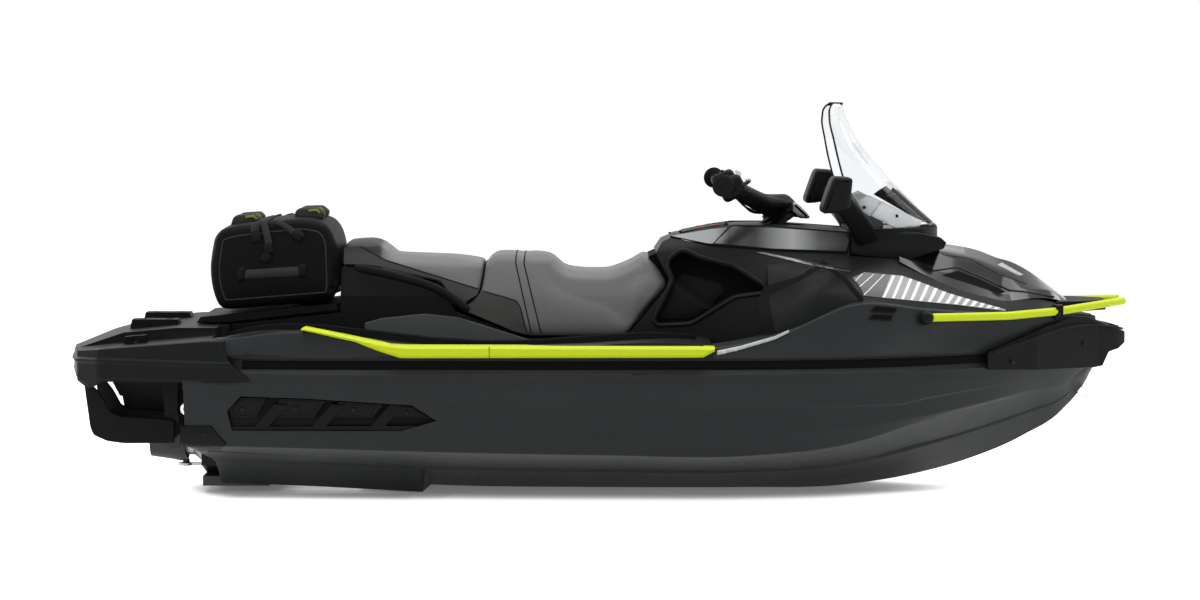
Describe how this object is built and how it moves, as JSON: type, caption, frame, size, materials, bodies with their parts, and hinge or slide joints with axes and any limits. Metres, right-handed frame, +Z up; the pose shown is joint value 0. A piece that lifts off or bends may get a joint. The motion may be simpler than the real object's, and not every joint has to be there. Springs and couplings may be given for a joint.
{
  "type": "personal watercraft",
  "caption": "Touring personal watercraft with handlebar, steered jet nozzle, reverse bucket, opening lids, lift-off seat, folding boarding step, windshield and a bag on its stern.",
  "frame": {"origin": "on the waterline, on the centre plane, half way along the craft", "axes": "+X to the bow, +Y to port, +Z up"},
  "size_m": [3.731, 1.256, 1.3686],
  "materials": {
    "hull_gelcoat": "charcoal moulded and coated hull",
    "deck_gelcoat": "charcoal moulded deck",
    "black_plastic": "grained black moulded plastic",
    "gloss_black": "high gloss black",
    "silver_plastic": "satin silver-grey moulded plastic",
    "yellow_plastic": "satin yellow-green moulded plastic",
    "seat_vinyl": "grained marine vinyl in two greys",
    "bag_fabric": "coated black fabric",
    "traction_mat": "foam traction mat",
    "rubber": "black rubber",
    "clear_screen": "clear polycarbonate",
    "aluminium": "cast and machined aluminium",
    "stainless": "stainless steel",
    "engine_block": "plain engine block"
  },
  "bodies": {
    "hull_and_deck": {"accessory_base": "black_plastic", "bow_bumper": "black_plastic", "bow_eye": "stainless", "bow_moulding": "hull_gelcoat", "bow_plate": "black_plastic", "bow_rail_sockets": "black_plastic", "bow_rails": "yellow_plastic", "console": "black_plastic", "console_panels": "silver_plastic", "corner_trims": "black_plastic", "cowl": "deck_gelcoat", "deck": "deck_gelcoat", "engine": "engine_block", "footwell_mats": "traction_mat", "grab_handles": "black_plastic", "gunwale_rails": "yellow_plastic", "hood": "gloss_black", "hull": "hull_gelcoat", "intake_grate": "aluminium", "knee_pads": "rubber", "luggage_rack": "black_plastic", "mooring_cleats": "black_plastic", "pump_housing": "aluminium", "ride_plate": "aluminium", "rider_seat": "seat_vinyl", "seat_pedestal": "black_plastic", "side_covers": "black_plastic", "side_scoops": "black_plastic", "sponsons": "black_plastic", "stern_eyes": "stainless", "stern_platform": "black_plastic", "storage_bag": "bag_fabric"},
    "steering": {"handlebar": "aluminium", "steering_head": "black_plastic", "bar_cover": "black_plastic", "bar_controls": "black_plastic", "grips": "rubber"},
    "nozzle": {"steering_nozzle": "aluminium"},
    "bucket": {"reverse_bucket": "aluminium"},
    "impeller": {"impeller": "stainless"},
    "front_lid": {"front_lid": "black_plastic", "gauge_display": "gloss_black", "windshield_base": "black_plastic", "windshield": "clear_screen", "mirrors": "gloss_black"},
    "glove_lid": {"glove_box_lid": "black_plastic"},
    "step": {"boarding_step": "black_plastic"},
    "rear_cushion": {"passenger_seat": "seat_vinyl"}
  },
  "joints": [
    {"name": "steering", "type": "hinge", "parent": "hull_and_deck", "child": "steering", "pos_m": [0.628, 0, 0.71], "axis": [-0.5299, 0, 0.848], "range_deg": [-27, 27]},
    {"name": "nozzle_steer", "type": "hinge", "parent": "hull_and_deck", "child": "nozzle", "pos_m": [-1.478, 0, -0.09], "axis": [0, 0, 1], "range_deg": [-22, 22]},
    {"name": "reverse_bucket", "type": "hinge", "parent": "hull_and_deck", "child": "bucket", "pos_m": [-1.5, 0, -0.09], "axis": [0, -1, 0], "range_deg": [0, 78]},
    {"name": "impeller_spin", "type": "hinge", "parent": "hull_and_deck", "child": "impeller", "pos_m": [-1.235, 0, -0.09], "axis": [1, 0, 0], "continuous": true},
    {"name": "front_lid_hinge", "type": "hinge", "parent": "hull_and_deck", "child": "front_lid", "pos_m": [1.19, 0, 0.618], "axis": [0, 1, 0], "range_deg": [0, 50]},
    {"name": "glove_lid_hinge", "type": "hinge", "parent": "hull_and_deck", "child": "glove_lid", "pos_m": [0.44, 0, 0.678], "axis": [0, 1, 0], "range_deg": [0, 60]},
    {"name": "step_fold", "type": "hinge", "parent": "hull_and_deck", "child": "step", "pos_m": [-1.47, -0.3, -0.01], "axis": [0, -1, 0], "range_deg": [0, 75], "stiffness_Nm_per_rad": 12, "springref_deg": -68.75},
    {"name": "passenger_seat_lift", "type": "slide", "parent": "hull_and_deck", "child": "rear_cushion", "axis": [0, 0, 1], "range_m": [0, 0.25]}
  ],
  "couplings": [
    {"joint": "nozzle_steer", "follows": "steering", "ratio": -0.8}
  ]
}
